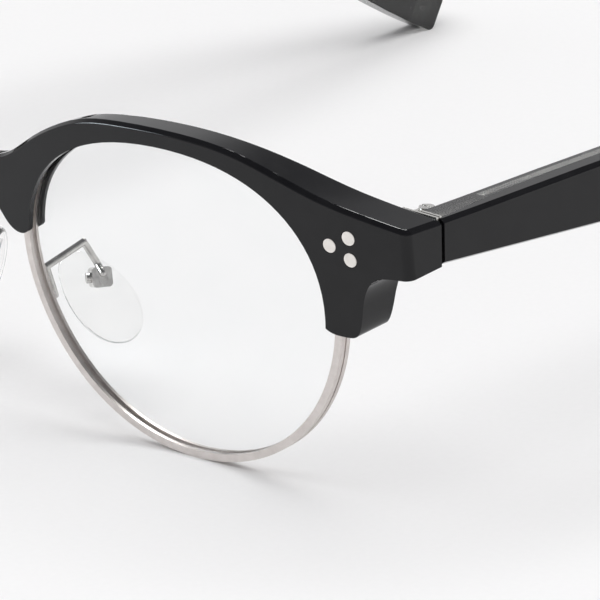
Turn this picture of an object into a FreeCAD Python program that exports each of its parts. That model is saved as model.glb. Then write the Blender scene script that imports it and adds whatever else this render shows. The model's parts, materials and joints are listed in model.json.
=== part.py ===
import FreeCAD, Part
import math
import os

V = FreeCAD.Vector

# Frame: +X is the wearer's left, the front faces -Y, the temples run to +Y, +Z is up.
# The front parts are drawn in an untilted frame (x across, y deep, z up from the
# lens centre line) and are then leaned back by the pantoscopic angle.
PANTOSCOPIC_DEG = 6.02
LENS_CENTRE_HEIGHT = 21.23
FRONT_RADIUS = 390.0

# lens opening
LENS_CENTRE_X = 34.45
LENS_WIDTH = 47.67
LENS_HEIGHT = 40.67
OVAL_POINTS = 32

# rim ring
RIM_WIDTH = 0.966
RIM_FRONT = 0.74
RIM_BACK = 2.24
RIM_LINE_FRONT = 1.40
RIM_LINE_BACK = 1.62
RIM_LINE_DEEP = 0.12
RIM_GAP_LOW = 3.60
RIM_GAP_HIGH = 3.90
LENS_GROOVE = 0.43
LENS_GROOVE_FRONT = 1.15
LENS_GROOVE_BACK = 1.85
LENS_SEAT = 0.03
LENS_FACE_FRONT = 0.85
LENS_FACE_BACK = 2.15

# brow
BROW_DEPTHS = [(0, 2.7), (22, 3.15), (30, 3.85), (38, 4.15), (46, 4.5), (52, 5.4), (58, 5.95),
               (66, 6.05), (85, 6.0)]
BROW_LIP = 0.73
SEAT_CLEAR = 0.03
SIDE_X = 70.0
INNER_SIDE_X = 65.7
CORNER_ROUND = 1.2
SEAM_Y = 11.05
PLATE_THICK = 0.35
BEVEL_HIGH = 0.42
BEVEL_DEEP = 0.7
CREASE_ROUND = 0.15
TOP_ROUND = 0.3
LOBE_X = 62.0
LOBE_DEPTH = 6.1
LOBE_LEAN_DEG = 7.5
TOP_CURVE = [(0, 11.8), (7.9, 12.6), (12.75, 15.6), (17.5, 18.25), (21.9, 19.9), (28, 20.75),
             (36.1, 20.95), (46.5, 19.9), (57.4, 16.55), (65.3, 14.9), (70.6, 14.05)]
NOSE_CURVE = [(0, 8.0), (3.6, 7.5), (5.9, 6.2), (7.3, 4.4), (8.8, 3.05), (10.3, 2.85), (11.6, 4.0)]
LOBE_CURVE = [(56.4, 1.2), (57.9, -0.35), (60.1, -0.6), (61.7, -0.3), (62.4, 0.9), (63.0, 3.6),
              (63.6, 5.6), (64.9, 7.3), (67.2, 7.95), (70.6, 8.15)]

# rivets
RIVET_R = 0.875
RIVET_RING = 0.1
RIVET_RING_DEEP = 0.06
RIVET_PLACES = [(61.81, 12.199), (61.81, 9.461), (59.02, 10.83)]

# rim closing blocks behind the outer lobe
BLOCK_X0 = 58.5
BLOCK_X1 = 61.6
BLOCK_Y0 = 5.9
BLOCK_Y1 = 8.2
BLOCK_HEIGHT = 2.2
CLOSE_SCREW_X = 60.5
CLOSE_SCREW_R = 0.45
CLOSE_HEAD_R = 0.8
POCKET_GAP = 0.3

# top screw and its post on the rim
TOP_SCREW_X = 22.0
TOP_SCREW_Y = 2.3
POST_R = 0.6
POST_TOP = 18.75
TOP_HEAD_R = 0.7
TOP_HEAD_BASE = 18.95
TOP_HEAD_TOP = 19.4
TOP_SHANK_LONG = 0.3
TOP_SHANK_R = 0.35

# hinge
HINGE_X = 64.5
HINGE_Y = 14.0
KNUCKLE_R = 1.1
KNUCKLE_BOTTOM = 31.2
KNUCKLE_TOP = 35.5
KNUCKLE_COUNT = 5
KNUCKLE_GAP = 0.08
PIN_R = 0.55
PIN_CLEAR = 0.04
HINGE_HEAD_R = 0.95
HEAD_THICK = 0.35
SLOT_WIDE = 0.3
HINGE_PLATE = 0.7
HINGE_PLATE_X0 = 57.6
HINGE_PLATE_X1 = 64.2
HINGE_PLATE_LOW = 8.3
HINGE_PLATE_HIGH = 13.3
ARM_X0 = 63.6
ARM_X1 = 65.3
ARM_Y0 = 8.0
SEAM_PLATE_X = 69.2
SEAM_PLATE_LOW = 30.9
SEAM_PLATE_HIGH = 36.3
LINK_HALF = 0.8

# temple
TEMPLE_START = 11.30
TEMPLE_JOIN = [(69.1, 11.0), (68.35, 17), (67.85, 22), (67.6, 28), (67.5, 36), (67.5, 50)]
TEMPLE_TOP = [(11.3, 36.05), (20, 36.2), (28, 36.4), (40, 36.65), (75, 36.75), (96, 36.2),
              (109, 34.0), (120, 29.3), (135, 20.8), (156.6, 7.9)]
TEMPLE_BOTTOM = [(11.3, 30.5), (37.8, 28.9), (65, 27.6), (85, 27.2), (100, 25.9), (110, 23.1),
                 (125, 15.7), (151.9, -0.4)]
TIP_ROUND = 1.0
TEMPLE_SPLAY_DEG = 0.55
CORE_X0 = 66.05
CORE_X1 = 67.15
CORE_LOW = [(20.7, 33.0), (40, 33.1), (75, 32.9), (94, 32.4), (106, 30.3), (117, 25.8),
            (131.5, 17.6)]
CORE_HIGH = [(20.7, 35.65), (40, 36.05), (75, 36.15), (95, 35.6), (107.7, 33.2), (119, 28.4),
             (133, 20.5)]
LEAF_X1 = 66.7
LEAF_END = 20.0
LEAF_LOW = 31.6
LEAF_HIGH = 35.3

# nose pads
BOX_CENTRE = V(11.0, 11.66, 15.6)
PAD_SPLAY_DEG = 30.0
PAD_FRONTAL_DEG = 20.0
PAD_TURN_DEG = 35.0
PAD_LONG = 13.6
PAD_WIDE = 7.6
PAD_THICK = 1.5
PAD_BACK = 1.65
PAD_OFF_DOWN = 2.4
PAD_OFF_SIDE = 0.2
PAD_DROP = 0.15
PAD_ROUND = 0.55
PAD_POINTS = 16
BOX_SIZE = 2.5
BOX_FLOOR = -1.45
BOX_RIM = 1.0
BOX_ROUND = 0.5
BOX_SLOT = 1.25
LUG_THICK = 1.1
LUG_R = 0.95
PAD_PIN_R = 0.4
PAD_HEAD_R = 0.65
PAD_HEAD_THICK = 0.5
ARM_R = 0.45
ARM_PATH = [V(10.3, 4.75, 14.9), V(9.95, 3.75, 18.7), V(10.8, 9.3, 20.7), V(11.05, 11.3, 17.4)]

# the finished object stands on z = 0 with its middle at the origin
SHIFT_Y = -77.367
SHIFT_Z = 0.1

# drawing aids: reach of the cutters and the plane the front view is drawn on
TALL = 60.0
WIDE = 85.0
DRAW_Y = -5.0


def oval_point(angle, off):
    """Point of the lens outline at a polar angle, moved outward by off."""
    def raw(a):
        k = 1 + 0.029 * math.sin(3 * a) - 0.009 * math.cos(4 * a)
        k += 0.001 * math.cos(2 * a) - 0.004 * math.cos(3 * a)
        return (LENS_WIDTH / 2 * math.cos(a) * k, LENS_HEIGHT / 2 * math.sin(a) * k)
    step = 1e-4
    x, z = raw(angle)
    xa, za = raw(angle - step)
    xb, zb = raw(angle + step)
    long = math.hypot(xb - xa, zb - za)
    return V(LENS_CENTRE_X + x + off * (zb - za) / long, 0, z - off * (xb - xa) / long)


def oval_prism(off):
    """Deep solid with the lens outline moved outward by off."""
    curve = Part.BSplineCurve()
    points = [oval_point(2 * math.pi * i / OVAL_POINTS, off) for i in range(OVAL_POINTS)]
    curve.interpolate(Points=points, PeriodicFlag=True)
    face = Part.Face(Part.Wire([curve.toShape()]))
    face.translate(V(0, -5, 0))
    return face.extrude(V(0, 30, 0))


def sag(x):
    """Depth of the curved front at x."""
    return FRONT_RADIUS - math.sqrt(FRONT_RADIUS ** 2 - x ** 2)


def front_arc(depth):
    """Arc across the front at a depth behind its outer surface."""
    side = sag(WIDE) + depth
    return Part.Arc(V(-WIDE, side, -TALL), V(0, depth, -TALL), V(WIDE, side, -TALL)).toShape()


def rear_curve(extra):
    """Back of the brow seen from below, moved rearward by extra."""
    return spline([V(x, sag(x) + deep + extra, -TALL) for x, deep in mirrored(BROW_DEPTHS)])


def between(near, far):
    """Tall solid between two curves that both run across the front."""
    ends = [Part.makeLine(near.Vertexes[i].Point, far.Vertexes[i].Point) for i in (0, 1)]
    return Part.Face(Part.Wire([near, ends[1], far, ends[0]])).extrude(V(0, 0, 2 * TALL))


def slab(near, far):
    """Curved layer of the front between two depths."""
    return between(front_arc(near), front_arc(far))


def box(x0, x1, y0, y1, z0, z1):
    return Part.makeBox(x1 - x0, y1 - y0, z1 - z0, V(x0, y0, z0))


def rod(radius, start, end):
    return Part.makeCylinder(radius, (end - start).Length, start, end - start)


def spline(points):
    curve = Part.BSplineCurve()
    curve.interpolate(points)
    return curve.toShape()


def lean(shape):
    """Lean a front part back and raise it to its height."""
    done = shape.copy()
    done.rotate(V(0, 0, 0), V(1, 0, 0), PANTOSCOPIC_DEG)
    done.translate(V(0, 0, LENS_CENTRE_HEIGHT))
    return done


def mirrored(points):
    """Half outline, from the middle outward, made whole."""
    return [(-x, v) for x, v in reversed(points) if x > 0] + list(points)


def upright(points):
    """Curve drawn on an upright plane in front of the object."""
    return spline([V(x, DRAW_Y, z) for x, z in points])


def brow_outline():
    """Deep solid with the front view of the brow's lower side, open above."""
    def join(a, b):
        return Part.makeLine(V(a[0], DRAW_Y, a[1]), V(b[0], DRAW_Y, b[1]))
    lobe, tip, nostril = LOBE_CURVE[0], LOBE_CURVE[-1], NOSE_CURVE[-1]
    def flip(p):
        return (-p[0], p[1])
    crown = (tip[0], TALL / 2)
    edges = [upright(mirrored(NOSE_CURVE)), join(nostril, lobe), upright(LOBE_CURVE),
             join(tip, crown), join(crown, flip(crown)), join(flip(crown), flip(tip)),
             upright([flip(p) for p in LOBE_CURVE]), join(flip(lobe), flip(nostril))]
    return Part.Face(Part.Wire(Part.__sortEdges__(edges))).extrude(V(0, 40, 0))


def brow_roof():
    """Solid under the brow's top surface, which ends up level from front to back."""
    drop = math.tan(math.radians(PANTOSCOPIC_DEG))
    points = [(x, z + (sag(x) + BEVEL_DEEP - DRAW_Y) * drop) for x, z in mirrored(TOP_CURVE)]
    (left, left_top), (right, right_top) = points[0], points[-1]
    corners = [V(right, DRAW_Y, right_top), V(right, DRAW_Y, -TALL), V(left, DRAW_Y, -TALL),
               V(left, DRAW_Y, left_top)]
    edges = [Part.makeLine(a, b) for a, b in zip(corners, corners[1:])]
    return Part.Face(Part.Wire([upright(points)] + edges)).extrude(V(0, 40, -40 * drop))


def brow_plan():
    """Tall solid with the top view of the brow: a curved front, thicker towards the sides."""
    plan = between(front_arc(0), rear_curve(0))
    plan = plan.common(box(-SIDE_X, SIDE_X, -5, 20, -TALL, TALL))
    outer = [e for e in plan.Edges if vertical_at(e, SIDE_X, -5, 9)]
    return plan.makeFillet(CORNER_ROUND, outer)


def vertical_at(edge, x, y0, y1):
    box_ = edge.BoundBox
    upright = box_.XLength < 0.01 and box_.YLength < 0.01 and box_.ZLength > 1
    return upright and abs(abs(box_.XMin) - x) < 0.01 and y0 < box_.YMin < y1


def top_front_edges(shape):
    """Edges where the top of the brow meets its front and its outer sides."""
    found = []
    for edge in shape.Edges:
        mid = edge.valueAt((edge.FirstParameter + edge.LastParameter) / 2)
        front = abs(mid.y - sag(abs(mid.x))) < 0.3 or abs(abs(mid.x) - SIDE_X) < 0.3
        across = edge.BoundBox.XLength + edge.BoundBox.YLength
        if front and mid.z > 10.5 and across > 0.5:
            found.append(edge)
    return found


def long_top_edges(shape, rear):
    """Edges along the whole top of the leaned brow: the rear one, or those of the bevel."""
    found = []
    for edge in shape.Edges:
        mid = edge.valueAt((edge.FirstParameter + edge.LastParameter) / 2)
        if edge.BoundBox.XLength > 100 and mid.z > 32 and (mid.y > 0.9) == rear:
            found.append(edge)
    return found


def rim_closing_cutter():
    """Pocket, open to the rear, that holds the blocks closing one rim."""
    return box(BLOCK_X0, BLOCK_X1 + POCKET_GAP, BLOCK_Y0 - POCKET_GAP / 2, 12,
               RIM_GAP_LOW - BLOCK_HEIGHT - 2 * POCKET_GAP, RIM_GAP_HIGH + BLOCK_HEIGHT + POCKET_GAP)


def post():
    """Threaded post standing on the rim under the top screw."""
    solid = rod(POST_R, V(TOP_SCREW_X, TOP_SCREW_Y, 10), V(TOP_SCREW_X, TOP_SCREW_Y, POST_TOP))
    return solid.cut(oval_prism(RIM_WIDTH)).cut(top_shank(0))


def top_shank(extra):
    return rod(TOP_SHANK_R + extra, V(TOP_SCREW_X, TOP_SCREW_Y, POST_TOP - TOP_SHANK_LONG),
               V(TOP_SCREW_X, TOP_SCREW_Y, TOP_HEAD_BASE))


def top_screw():
    head = rod(TOP_HEAD_R, V(TOP_SCREW_X, TOP_SCREW_Y, TOP_HEAD_BASE),
               V(TOP_SCREW_X, TOP_SCREW_Y, TOP_HEAD_TOP))
    slot = box(TOP_SCREW_X - 1, TOP_SCREW_X + 1, TOP_SCREW_Y - 0.1, TOP_SCREW_Y + 0.1,
               TOP_HEAD_TOP - 0.2, TOP_HEAD_TOP + 1)
    return head.fuse(top_shank(0)).cut(slot).removeSplitter()


def rivet(x, z):
    """Rivet through the front, its face following the curved front."""
    pin = rod(RIVET_R, V(x, -3, z), V(x, 20, z))
    return pin.common(between(front_arc(0), rear_curve(HINGE_PLATE)))


def rivets():
    return Part.makeCompound([rivet(x, z) for x, z in RIVET_PLACES])


def rim():
    """Ring with a lens groove inside, a fine line outside and a gap at the closing blocks."""
    ring = oval_prism(RIM_WIDTH).cut(oval_prism(0)).common(slab(RIM_FRONT, RIM_BACK))
    groove = oval_prism(LENS_GROOVE).common(slab(LENS_GROOVE_FRONT, LENS_GROOVE_BACK))
    line = slab(RIM_LINE_FRONT, RIM_LINE_BACK).cut(oval_prism(RIM_WIDTH - RIM_LINE_DEEP))
    gap = box(LENS_CENTRE_X + 15, SIDE_X, -2, 9, RIM_GAP_LOW, RIM_GAP_HIGH)
    return ring.cut(groove).cut(line).cut(gap)


def lens():
    """Curved lens with a tongue round its edge that sits in the rim groove."""
    body = oval_prism(-LENS_SEAT).common(slab(LENS_FACE_FRONT, LENS_FACE_BACK))
    tongue = oval_prism(LENS_GROOVE - LENS_SEAT)
    tongue = tongue.common(slab(LENS_GROOVE_FRONT + LENS_SEAT, LENS_GROOVE_BACK - LENS_SEAT))
    return body.fuse(tongue).removeSplitter()


def closing_block(z0, z1):
    """Block brazed to one end of the split rim."""
    block = box(BLOCK_X0, BLOCK_X1, BLOCK_Y0, BLOCK_Y1, z0, z1)
    return block.cut(oval_prism(RIM_WIDTH)).cut(closing_screw())


def closing_screw():
    """Slotted screw drawing the two blocks of a rim together."""
    y = (BLOCK_Y0 + BLOCK_Y1) / 2 + 0.3
    low = RIM_GAP_LOW - BLOCK_HEIGHT
    shank = rod(CLOSE_SCREW_R, V(CLOSE_SCREW_X, y, low), V(CLOSE_SCREW_X, y, RIM_GAP_HIGH + 1.6))
    head = rod(CLOSE_HEAD_R, V(CLOSE_SCREW_X, y, low - 0.4), V(CLOSE_SCREW_X, y, low))
    slot = box(CLOSE_SCREW_X - 1, CLOSE_SCREW_X + 1, y - 0.12, y + 0.12, low - 1, low - 0.2)
    return head.fuse(shank).cut(slot).removeSplitter()


def rivet_holes():
    """Holes for the rivets, each with a shallow ring round its mouth."""
    tools = []
    for x, z in RIVET_PLACES:
        hole = rod(RIVET_R, V(x, -3, z), V(x, 20, z))
        ring = rod(RIVET_R + RIVET_RING, V(x, -3, z), V(x, 20, z))
        tools += [hole, ring.common(slab(-1, RIVET_RING_DEEP))]
    return tools


def lobe_back():
    """Cutter that thins the outer lobes towards their lower ends."""
    cutter = slab(LOBE_DEPTH, 2 * LOBE_DEPTH)
    pivot = V(0, sag(LOBE_X) + LOBE_DEPTH, HINGE_PLATE_LOW)
    cutter.rotate(pivot, V(1, 0, 0), -LOBE_LEAN_DEG)
    return cutter


def brow_blank():
    """Leaned brow cut off at the seam, its top bevelled in front and rounded behind."""
    body = brow_outline().common(brow_roof()).common(brow_plan()).cut(lobe_back()).Solids[0]
    body = body.makeChamfer(BEVEL_HIGH, BEVEL_DEEP, top_front_edges(body))
    body = lean(body).cut(box(-WIDE, WIDE, SEAM_Y - PLATE_THICK, 90, -TALL, TALL)).Solids[0]
    body = body.makeFillet(TOP_ROUND, long_top_edges(body, True))
    return body.makeFillet(CREASE_ROUND, long_top_edges(body, False))


def brow():
    """Black upper frame: bridge, nose lobes, outer lobes and deep ends."""
    body = brow_blank()
    seat = oval_prism(RIM_WIDTH + SEAT_CLEAR).common(
        slab(RIM_FRONT - SEAT_CLEAR, RIM_BACK + SEAT_CLEAR))
    foot = V(TOP_SCREW_X, TOP_SCREW_Y, TOP_HEAD_BASE)
    tools = [oval_prism(-BROW_LIP), seat, rim_closing_cutter(), top_shank(SEAT_CLEAR),
             rod(POST_R + SEAT_CLEAR, foot - V(0, 0, 5), V(TOP_SCREW_X, TOP_SCREW_Y, POST_TOP)),
             rod(TOP_HEAD_R + SEAT_CLEAR, foot, foot + V(0, 0, 5))]
    tools = [lean(tool) for tool in tools + rivet_holes()] + [hinge_front()]
    for tool in tools:
        body = body.cut(tool).cut(flipped(tool))
    return body


def flipped(shape):
    """The same part on the wearer's right."""
    return shape.mirror(V(0, 0, 0), V(1, 0, 0))


def knuckle_levels():
    """Bottom and top of every knuckle, lowest first."""
    gaps = (KNUCKLE_COUNT - 1) * KNUCKLE_GAP
    tall = (KNUCKLE_TOP - KNUCKLE_BOTTOM - gaps) / KNUCKLE_COUNT
    lows = [KNUCKLE_BOTTOM + i * (tall + KNUCKLE_GAP) for i in range(KNUCKLE_COUNT)]
    return [(low, low + tall) for low in lows]


def knuckle(z0, z1):
    return rod(KNUCKLE_R, V(HINGE_X, HINGE_Y, z0), V(HINGE_X, HINGE_Y, z1))


def pin_hole():
    return rod(PIN_R + PIN_CLEAR, V(HINGE_X, HINGE_Y, 0), V(HINGE_X, HINGE_Y, TALL))


def hinge_front():
    """Front half: riveted back plate, arm, end plate in the seam and three knuckles."""
    plate = box(HINGE_PLATE_X0, HINGE_PLATE_X1, 0, 20, HINGE_PLATE_LOW, HINGE_PLATE_HIGH)
    plate = plate.common(between(rear_curve(0), rear_curve(HINGE_PLATE)))
    for x, z in RIVET_PLACES:
        plate = plate.cut(rod(RIVET_R, V(x, -3, z), V(x, 20, z)))
    arm = box(ARM_X0, ARM_X1, ARM_Y0, SEAM_Y + 1, KNUCKLE_BOTTOM, KNUCKLE_TOP)
    seam = box(ARM_X0, SEAM_PLATE_X, SEAM_Y - PLATE_THICK, SEAM_Y, SEAM_PLATE_LOW, SEAM_PLATE_HIGH)
    solid = lean(plate).fuse(arm).fuse(seam)
    for z0, z1 in knuckle_levels()[::2]:
        solid = solid.fuse(box(ARM_X0, ARM_X1, SEAM_Y, HINGE_Y, z0, z1)).fuse(knuckle(z0, z1))
    return solid.cut(pin_hole()).removeSplitter()


def hinge_temple():
    """Temple half: end plate in the seam, embedded leaf and two knuckles."""
    leaf = box(INNER_SIDE_X, LEAF_X1, TEMPLE_START, LEAF_END, LEAF_LOW, LEAF_HIGH)
    seam = box(INNER_SIDE_X, SEAM_PLATE_X, TEMPLE_START, TEMPLE_START + PLATE_THICK,
               SEAM_PLATE_LOW, SEAM_PLATE_HIGH)
    solid = leaf.fuse(seam)
    for z0, z1 in knuckle_levels()[1::2]:
        link = box(HINGE_X, LEAF_X1, HINGE_Y - LINK_HALF, HINGE_Y + LINK_HALF, z0, z1)
        solid = solid.fuse(link).fuse(knuckle(z0, z1))
    return solid.cut(pin_hole()).removeSplitter()


def hinge_screw():
    """Pivot screw with a slotted head on top of the highest knuckle."""
    base = V(HINGE_X, HINGE_Y, KNUCKLE_TOP)
    pin = rod(PIN_R, V(HINGE_X, HINGE_Y, KNUCKLE_BOTTOM), base)
    head = rod(HINGE_HEAD_R, base, base + V(0, 0, HEAD_THICK))
    slot = box(HINGE_X - 2, HINGE_X + 2, HINGE_Y - SLOT_WIDE / 2, HINGE_Y + SLOT_WIDE / 2,
               KNUCKLE_TOP + HEAD_THICK / 2, KNUCKLE_TOP + 1)
    return pin.fuse(head).cut(slot).removeSplitter()


def side_face(low, high, x):
    """Upright face between a lower and an upper curve, closed by straight ends."""
    bottom = [V(x, y, z) for y, z in low]
    top = [V(x, y, z) for y, z in high]
    edges = [spline(bottom), Part.makeLine(bottom[-1], top[-1]), spline(top),
             Part.makeLine(top[0], bottom[0])]
    return Part.Face(Part.Wire(Part.__sortEdges__(edges)))


def temple_blank():
    """One temple as a single thickness, its tip corners rounded, the outer top edge bevelled."""
    face = side_face(TEMPLE_BOTTOM, TEMPLE_TOP, INNER_SIDE_X)
    solid = face.extrude(V(SIDE_X - INNER_SIDE_X, 0, 0))
    tips = [e for e in solid.Edges if e.BoundBox.XLength > 4 and e.BoundBox.YMin > 145]
    solid = solid.makeFillet(TIP_ROUND, tips)
    outer = [e for e in solid.Edges if abs(e.BoundBox.XMin - SIDE_X) < 0.01]
    top = [e for e in outer if e.BoundBox.YLength > 15 and e.BoundBox.ZMax > TEMPLE_TOP[0][1]]
    return solid.makeChamfer(BEVEL_HIGH, BEVEL_DEEP, top)


def temple_core():
    """Flat metal strip inside the clear layer."""
    face = side_face(CORE_LOW, CORE_HIGH, CORE_X0)
    return face.extrude(V(CORE_X1 - CORE_X0, 0, 0))


def outer_side():
    """Everything on the outer side of the surface where the two temple layers meet."""
    join = spline([V(x, y, -5) for x, y in TEMPLE_JOIN])
    (x0, y0), (x1, y1) = TEMPLE_JOIN[0], TEMPLE_JOIN[-1]
    corners = [V(x1, y1, -5), V(x1, 200, -5), V(WIDE, 200, -5), V(WIDE, y0, -5), V(x0, y0, -5)]
    edges = [Part.makeLine(a, b) for a, b in zip(corners, corners[1:])]
    return Part.Face(Part.Wire([join] + edges)).extrude(V(0, 0, TALL))


def temple_outer():
    """Black outer layer of a temple."""
    return temple_blank().common(outer_side()).cut(hinge_temple())


def temple_inner():
    """Clear inner layer of a temple, hollow for the core and the hinge leaf."""
    return temple_blank().cut(outer_side()).cut(hinge_temple()).cut(temple_core())


def splayed(shape):
    """Open a temple part a little wider about its hinge."""
    done = shape.copy()
    done.rotate(V(HINGE_X, HINGE_Y, 0), V(0, 0, 1), -TEMPLE_SPLAY_DEG)
    return done


def pad_axes():
    """Unit vectors of a nose pad: away from the nose, down its face, and rearward."""
    normal = V(1, -math.tan(math.radians(PAD_SPLAY_DEG)), math.tan(math.radians(PAD_FRONTAL_DEG)))
    normal.normalize()
    down = V(0, 0, -1) + normal * normal.z
    down.normalize()
    return normal, down, normal.cross(down)


def pad_matrix():
    """Pad frame: x rearward in the pad face, y down it, z towards the nose."""
    normal, down, side = pad_axes()
    return FreeCAD.Matrix(side.x, down.x, -normal.x, BOX_CENTRE.x,
                          side.y, down.y, -normal.y, BOX_CENTRE.y,
                          side.z, down.z, -normal.z, BOX_CENTRE.z, 0, 0, 0, 1)


def pad_place(shape):
    done = shape.copy()
    done.Placement = FreeCAD.Placement(pad_matrix())
    return done


def pad_point(x, y, z):
    return pad_matrix().multVec(V(x, y, z))


def pad_outline():
    """Drop-shaped outline, wider at its lower end, turned in the pad face."""
    turn = math.radians(PAD_TURN_DEG)
    points = []
    for i in range(PAD_POINTS):
        a = 2 * math.pi * i / PAD_POINTS
        along = PAD_LONG / 2 * math.cos(a)
        across = PAD_WIDE / 2 * math.sin(a) * (1 + PAD_DROP * math.cos(a))
        x = PAD_OFF_SIDE + along * math.sin(turn) + across * math.cos(turn)
        y = PAD_OFF_DOWN + along * math.cos(turn) - across * math.sin(turn)
        points.append(V(x, y, PAD_BACK))
    curve = Part.BSplineCurve()
    curve.interpolate(Points=points, PeriodicFlag=True)
    return Part.Face(Part.Wire([curve.toShape()]))


def nose_pad():
    """Soft clear pad with a lug that turns on the pin."""
    plate = pad_outline().extrude(V(0, 0, PAD_THICK))
    plate = plate.makeFillet(PAD_ROUND, plate.Edges)
    eye = rod(LUG_R, V(-LUG_THICK / 2, 0, 0), V(LUG_THICK / 2, 0, 0))
    neck = box(-LUG_THICK / 2, LUG_THICK / 2, -LUG_R, LUG_R, 0, PAD_BACK + 0.3)
    hole = rod(PAD_PIN_R + PIN_CLEAR, V(-2, 0, 0), V(2, 0, 0))
    return pad_place(plate.fuse(eye).fuse(neck).cut(hole).removeSplitter())


def pad_box():
    """Small bracket: floor and two cheeks holding the pad lug."""
    half = BOX_SIZE / 2
    block = box(-half, half, -half, half, BOX_FLOOR, BOX_RIM)
    corners = [e for e in block.Edges if e.BoundBox.ZLength > 1]
    block = block.makeFillet(BOX_ROUND, corners)
    slot = box(-BOX_SLOT / 2, BOX_SLOT / 2, -2, 2, -LUG_R - 0.1, 3)
    hole = rod(PAD_PIN_R, V(-2, 0, 0), V(2, 0, 0))
    return pad_place(block.cut(slot).cut(hole))


def pad_screw():
    """Pin through the bracket with a round head at its front end."""
    half = BOX_SIZE / 2
    pin = rod(PAD_PIN_R, V(-half, 0, 0), V(half, 0, 0))
    head = rod(PAD_HEAD_R, V(-half - PAD_HEAD_THICK, 0, 0), V(-half, 0, 0))
    return pad_place(pin.fuse(head).removeSplitter())


def pad_arm():
    """Bent wire from a foot on the rim to the back of the bracket."""
    path = ARM_PATH + [pad_point(0, -0.5, BOX_FLOOR - ARM_R + 0.05)]
    wire = Part.makeSphere(ARM_R, path[0])
    for start, end in zip(path, path[1:]):
        wire = wire.fuse(rod(ARM_R, start, end)).fuse(Part.makeSphere(ARM_R, end))
    return wire.cut(lean(rim())).cut(pad_box()).removeSplitter()


def left_parts():
    """Every part that exists once on each side."""
    low = RIM_GAP_LOW - BLOCK_HEIGHT
    high = RIM_GAP_HIGH + BLOCK_HEIGHT
    return {
        "rim": lean(rim()),
        "lens": lean(lens()),
        "rim_block_lower": lean(closing_block(low, RIM_GAP_LOW)),
        "rim_block_upper": lean(closing_block(RIM_GAP_HIGH, high)),
        "rim_screw": lean(closing_screw()),
        "rim_post": lean(post()),
        "brow_screw": lean(top_screw()),
        "rivets": lean(rivets()),
        "hinge_front": hinge_front(),
        "hinge_temple": splayed(hinge_temple()),
        "hinge_screw": hinge_screw(),
        "temple_outer": splayed(temple_outer()),
        "temple_inner": splayed(temple_inner()),
        "temple_core": splayed(temple_core()),
        "pad_arm": pad_arm(),
        "pad_box": pad_box(),
        "pad_screw": pad_screw(),
        "nose_pad": nose_pad(),
    }


def main():
    os.makedirs("parts", exist_ok=True)
    parts = {"brow": brow()}
    for name, shape in left_parts().items():
        parts[name + "_left"] = shape
        parts[name + "_right"] = flipped(shape)
    for name, shape in parts.items():
        shape.translate(V(0, SHIFT_Y, SHIFT_Z))
        shape.exportStep("parts/" + name + ".step")


main()
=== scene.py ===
import json
import math

import bpy
from mathutils import Matrix, Vector

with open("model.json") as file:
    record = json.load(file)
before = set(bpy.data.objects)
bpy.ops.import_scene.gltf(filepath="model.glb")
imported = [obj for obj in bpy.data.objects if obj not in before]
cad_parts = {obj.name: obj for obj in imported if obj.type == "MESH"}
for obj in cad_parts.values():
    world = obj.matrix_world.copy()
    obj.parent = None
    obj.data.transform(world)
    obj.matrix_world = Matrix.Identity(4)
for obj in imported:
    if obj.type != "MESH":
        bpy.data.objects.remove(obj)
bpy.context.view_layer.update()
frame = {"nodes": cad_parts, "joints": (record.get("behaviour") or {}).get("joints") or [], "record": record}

MM = 0.001
PER_METRE = 1000

# camera: angles, distance and focal length, aimed at the wearer's-left half of the front
AZIMUTH = 45.19
ELEVATION = 19.13
ROLL = -1.21
DISTANCE = 750.7 * MM
LENS_MM = 388.67
SENSOR_MM = 36.0
CLIP = (0.01, 100)
AIM_SIDE = 57.39 * MM
AIM_HEIGHT = 26.42 * MM
PIVOT_BEHIND_FRONT = 14.0 * MM

# table
TABLE_REACH = 12.0

# overhead key: a very wide sun, so that the table is even and shadows are soft
KEY_STRENGTH = 2.6
KEY_ANGLE = 80
KEY_TILT = (-5, 3, 0)

# lights for glossy and clear surfaces, which leave matt ones unlit
STRIP_PLACE = (-0.45, 0.63, 1.27)
STRIP_SIZE = (0.55, 0.30)
STRIP_POWER = 8
STRIP_COLOUR = (1, 1, 1)
WINDOW_PLACE = (-0.97, -0.90, 0.56)
WINDOW_SIZE = (0.45, 0.40)
WINDOW_POWER = 11
WINDOW_COLOUR = (0.84, 0.93, 1.0)

# surroundings: brightness at three heights of the sky, from low to overhead
SKY = [(0.36, (0.74, 0.74, 0.75)), (0.58, (0.34, 0.34, 0.35)), (0.78, (0.13, 0.13, 0.14))]

# span of a noise texture's values that is used
NOISE_SPAN = (0.3, 0.7)


def front_vertex_y():
    """Depth of the front's middle, which lies ahead of the hinge pivots."""
    pivot = next(j for j in frame["joints"] if j["name"] == "temple_left_fold")
    return pivot["pos_m"][1] - PIVOT_BEHIND_FRONT


# ---------------------------------------------------------------- node helpers

def material(name):
    mat = bpy.data.materials.new(name)
    mat.use_nodes = True
    mat.node_tree.nodes.clear()
    return mat, mat.node_tree.nodes, mat.node_tree.links


def millimetres(nodes, links):
    """Object coordinates, which are the row frame's metres, in millimetres."""
    coord = nodes.new("ShaderNodeTexCoord")
    mapping = nodes.new("ShaderNodeMapping")
    mapping.inputs["Scale"].default_value = (PER_METRE, PER_METRE, PER_METRE)
    links.new(coord.outputs["Object"], mapping.inputs["Vector"])
    return mapping.outputs["Vector"]


def noise(nodes, links, vector, scale, detail=3.0):
    tex = nodes.new("ShaderNodeTexNoise")
    tex.inputs["Scale"].default_value = scale
    tex.inputs["Detail"].default_value = detail
    links.new(vector, tex.inputs["Vector"])
    return tex.outputs["Fac"]


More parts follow.
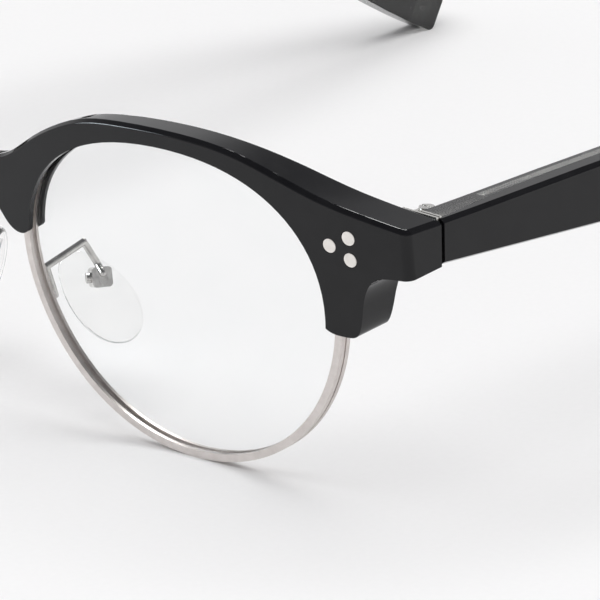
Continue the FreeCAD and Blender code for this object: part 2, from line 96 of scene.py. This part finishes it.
def spread(nodes, links, value, low, high, span=NOISE_SPAN):
    """Map a texture value onto a range."""
    node = nodes.new("ShaderNodeMapRange")
    node.inputs["From Min"].default_value = span[0]
    node.inputs["From Max"].default_value = span[1]
    node.inputs["To Min"].default_value = low
    node.inputs["To Max"].default_value = high
    links.new(value, node.inputs["Value"])
    return node.outputs["Result"]


def tint(nodes, links, value, low, high, span=NOISE_SPAN):
    """Map a texture value onto a run between two colours."""
    node = nodes.new("ShaderNodeValToRGB")
    first, last = node.color_ramp.elements
    first.position = span[0]
    first.color = (*low, 1)
    last.position = span[1]
    last.color = (*high, 1)
    links.new(value, node.inputs["Fac"])
    return node.outputs["Color"]


def bump(nodes, links, height, strength, distance):
    node = nodes.new("ShaderNodeBump")
    node.inputs["Strength"].default_value = strength
    node.inputs["Distance"].default_value = distance
    links.new(height, node.inputs["Height"])
    return node.outputs["Normal"]


def principled(nodes, links, **values):
    shader = nodes.new("ShaderNodeBsdfPrincipled")
    for key, value in values.items():
        shader.inputs[key.replace("_", " ")].default_value = value
    out = nodes.new("ShaderNodeOutputMaterial")
    links.new(shader.outputs["BSDF"], out.inputs["Surface"])
    return shader


# ------------------------------------------------------------------- materials

def black_acetate():
    """Polished black acetate: faint haze and buffing marks under a hard gloss."""
    mat, nodes, links = material("black_acetate")
    shader = principled(nodes, links, IOR=1.35)
    where = millimetres(nodes, links)
    haze = noise(nodes, links, where, 0.35)
    rub = noise(nodes, links, where, 2.2, 6)
    colour = tint(nodes, links, haze, low=(0.005, 0.005, 0.006), high=(0.008, 0.008, 0.009))
    rough = spread(nodes, links, rub, low=0.045, high=0.10)
    relief = bump(nodes, links, haze, strength=0.05, distance=0.02 * MM)
    links.new(colour, shader.inputs["Base Color"])
    links.new(rough, shader.inputs["Roughness"])
    links.new(relief, shader.inputs["Normal"])
    return mat


def metal(name, colours, roughness, grain, depth=0.01):
    """Metal with slight tone changes; grain is marks per mm and depth their mm of relief."""
    mat, nodes, links = material(name)
    shader = principled(nodes, links, Metallic=1.0)
    where = millimetres(nodes, links)
    tone = noise(nodes, links, where, 0.8)
    fine = noise(nodes, links, where, grain, 5)
    colour = tint(nodes, links, tone, *colours)
    rough = spread(nodes, links, fine, *roughness)
    relief = bump(nodes, links, fine, strength=0.25, distance=depth * MM)
    links.new(colour, shader.inputs["Base Color"])
    links.new(rough, shader.inputs["Roughness"])
    links.new(relief, shader.inputs["Normal"])
    return mat


def core_metal():
    """Flat strip engraved with rows of small dots; painted shade darkens each dot's pit."""
    mat, nodes, links = material("core_metal")
    shader = principled(nodes, links, Metallic=1.0)
    where = millimetres(nodes, links)
    cells = nodes.new("ShaderNodeTexVoronoi")
    cells.inputs["Scale"].default_value = 2.4
    cells.inputs["Randomness"].default_value = 0.12
    links.new(where, cells.inputs["Vector"])
    dots = cells.outputs["Distance"]
    # painted shade: the colour is darkest inside the dot pits and lighter on the flat strip between them
    colour = tint(nodes, links, dots, (0.08, 0.08, 0.08), (0.34, 0.34, 0.33), span=(0.22, 0.42))
    rough = spread(nodes, links, noise(nodes, links, where, 6), low=0.25, high=0.4)
    pits = spread(nodes, links, dots, low=0, high=1, span=(0.2, 0.4))
    relief = bump(nodes, links, pits, strength=0.6, distance=0.08 * MM)
    links.new(colour, shader.inputs["Base Color"])
    links.new(rough, shader.inputs["Roughness"])
    links.new(relief, shader.inputs["Normal"])
    return mat


def clear_plastic(name, colour, ior, roughness, wave):
    """Clear moulded material with a little surface waviness."""
    mat, nodes, links = material(name)
    shader = principled(nodes, links, Transmission_Weight=1.0, IOR=ior)
    where = millimetres(nodes, links)
    cloud = noise(nodes, links, where, 0.5)
    cloudy = tuple(channel * 0.97 for channel in colour)
    body = tint(nodes, links, cloud, cloudy, colour)
    rough = spread(nodes, links, cloud, *roughness)
    relief = bump(nodes, links, cloud, strength=wave, distance=0.05 * MM)
    links.new(body, shader.inputs["Base Color"])
    links.new(rough, shader.inputs["Roughness"])
    links.new(relief, shader.inputs["Normal"])
    return mat


def lens_glass():
    """Coated demonstration lens: clear, with a reflection that rises at grazing angles."""
    mat, nodes, links = material("lens")
    clear = nodes.new("ShaderNodeBsdfTransparent")
    gloss = nodes.new("ShaderNodeBsdfGlossy")
    smear = noise(nodes, links, millimetres(nodes, links), 0.12)
    colour = tint(nodes, links, smear, low=(0.985, 0.99, 0.99), high=(0.995, 0.997, 0.997))
    rough = spread(nodes, links, smear, low=0.01, high=0.04)
    links.new(colour, clear.inputs["Color"])
    links.new(rough, gloss.inputs["Roughness"])
    facing = nodes.new("ShaderNodeLayerWeight")
    facing.inputs["Blend"].default_value = 0.5
    curve = nodes.new("ShaderNodeMath")
    curve.operation = "POWER"
    curve.inputs[1].default_value = 4.0
    links.new(facing.outputs["Facing"], curve.inputs[0])
    share = spread(nodes, links, curve.outputs["Value"], low=0.006, high=0.8, span=(0, 1))
    mix = nodes.new("ShaderNodeMixShader")
    links.new(share, mix.inputs["Fac"])
    links.new(clear.outputs["BSDF"], mix.inputs[1])
    links.new(gloss.outputs["BSDF"], mix.inputs[2])
    out = nodes.new("ShaderNodeOutputMaterial")
    links.new(mix.outputs["Shader"], out.inputs["Surface"])
    return mat


def table_paint():
    """Matt white table with a trace of tooth."""
    mat, nodes, links = material("table")
    shader = principled(nodes, links, IOR=1.3)
    tooth = noise(nodes, links, millimetres(nodes, links), 1.2, 6)
    colour = tint(nodes, links, tooth, low=(0.835, 0.830, 0.828), high=(0.85, 0.845, 0.843))
    rough = spread(nodes, links, tooth, low=0.6, high=0.75)
    links.new(colour, shader.inputs["Base Color"])
    links.new(rough, shader.inputs["Roughness"])
    return mat


def finishes():
    """One material for each material slot of the record."""
    satin = ((0.62, 0.575, 0.55), (0.70, 0.655, 0.63))
    bright = ((0.50, 0.49, 0.475), (0.66, 0.65, 0.63))
    hinge = ((0.52, 0.51, 0.49), (0.64, 0.63, 0.60))
    rivet = ((0.72, 0.69, 0.65), (0.82, 0.79, 0.75))
    dark = ((0.05, 0.05, 0.05), (0.09, 0.09, 0.09))
    return {
        "satin_metal": metal("satin_metal", satin, roughness=(0.34, 0.46), grain=9),
        "bright_metal": metal("bright_metal", bright, roughness=(0.10, 0.24), grain=1.1, depth=0.25),
        "hinge_metal": metal("hinge_metal", hinge, roughness=(0.20, 0.32), grain=6),
        "rivet_metal": metal("rivet_metal", rivet, roughness=(0.30, 0.42), grain=7),
        "dark_metal": metal("dark_metal", dark, roughness=(0.3, 0.45), grain=6),
        "black_acetate": black_acetate(),
        "clear_acetate": clear_plastic("clear_acetate", (0.72, 0.72, 0.70), 1.49, (0.0, 0.05), 0.05),
        "clear_silicone": clear_plastic("clear_silicone", (0.99, 0.99, 0.985), 1.41, (0.0, 0.03), 0.10),
        "core_metal": core_metal(),
        "lens": lens_glass(),
    }


def paint_parts():
    slots = finishes()
    for part in frame["record"]["subparts"]:
        obj = frame["nodes"][part["node"]]
        obj.data.materials.clear()
        obj.data.materials.append(slots[part["material_slot"]])


# --------------------------------------------------------- table, light, camera

def link(name, data):
    obj = bpy.data.objects.new(name, data)
    bpy.context.scene.collection.objects.link(obj)
    return obj


def table_top():
    reach = TABLE_REACH
    mesh = bpy.data.meshes.new("table_top")
    corners = [(-reach, -reach, 0), (reach, -reach, 0), (reach, reach, 0), (-reach, reach, 0)]
    mesh.from_pydata(corners, [], [(0, 1, 2, 3)])
    mesh.materials.append(table_paint())
    link("table_top", mesh)


def reflected_light(name, place, size, power, colour):
    """Rectangular light aimed at the glasses, which leaves matt surfaces unlit."""
    light = bpy.data.lights.new(name, "AREA")
    light.shape = "RECTANGLE"
    light.size, light.size_y = size
    light.energy = power
    light.color = colour
    obj = link(name, light)
    obj.location = place
    obj.rotation_mode = "QUATERNION"
    obj.rotation_quaternion = (-Vector(place)).to_track_quat("-Z", "Y")
    obj.visible_diffuse = False


def overhead_key():
    """Soft light from above, which glossy surfaces do not show."""
    sun = bpy.data.lights.new("overhead", "SUN")
    sun.energy = KEY_STRENGTH
    sun.angle = math.radians(KEY_ANGLE)
    obj = link("overhead", sun)
    obj.rotation_euler = [math.radians(turn) for turn in KEY_TILT]
    obj.visible_glossy = False


def surroundings():
    """Pale near the horizon, darker towards the top."""
    world = bpy.data.worlds.new("studio")
    bpy.context.scene.world = world
    world.use_nodes = True
    nodes, links = world.node_tree.nodes, world.node_tree.links
    nodes.clear()
    coord = nodes.new("ShaderNodeTexCoord")
    split = nodes.new("ShaderNodeSeparateXYZ")
    links.new(coord.outputs["Generated"], split.inputs["Vector"])
    ramp = nodes.new("ShaderNodeValToRGB")
    low, middle, high = SKY
    first, last = ramp.color_ramp.elements
    first.position = low[0]
    first.color = (*low[1], 1)
    last.position = high[0]
    last.color = (*high[1], 1)
    ramp.color_ramp.elements.new(middle[0]).color = (*middle[1], 1)
    links.new(split.outputs["Z"], ramp.inputs["Fac"])
    back = nodes.new("ShaderNodeBackground")
    links.new(ramp.outputs["Color"], back.inputs["Color"])
    out = nodes.new("ShaderNodeOutputWorld")
    links.new(back.outputs["Background"], out.inputs["Surface"])


def camera():
    azimuth, elevation, roll = (math.radians(angle) for angle in (AZIMUTH, ELEVATION, ROLL))
    side = math.sin(azimuth) * math.cos(elevation)
    depth = -math.cos(azimuth) * math.cos(elevation)
    back = Vector((side, depth, math.sin(elevation)))
    level = Vector((math.cos(azimuth), math.sin(azimuth), 0))
    upright = back.cross(level)
    right = math.cos(roll) * level + math.sin(roll) * upright
    up = -math.sin(roll) * level + math.cos(roll) * upright
    aim = Vector((AIM_SIDE, front_vertex_y(), AIM_HEIGHT))
    data = bpy.data.cameras.new("view")
    data.lens = LENS_MM
    data.sensor_width = SENSOR_MM
    data.clip_start, data.clip_end = CLIP
    cam = link("view", data)
    turn = Matrix((right, up, back)).transposed().to_4x4()
    cam.matrix_world = Matrix.Translation(aim + back * DISTANCE) @ turn
    bpy.context.scene.camera = cam


paint_parts()
table_top()
surroundings()
overhead_key()
reflected_light("crease strip", STRIP_PLACE, STRIP_SIZE, STRIP_POWER, STRIP_COLOUR)
reflected_light("window", WINDOW_PLACE, WINDOW_SIZE, WINDOW_POWER, WINDOW_COLOUR)
camera()
bpy.context.scene.view_settings.view_transform = "Standard"
bpy.context.scene.view_settings.look = "None"
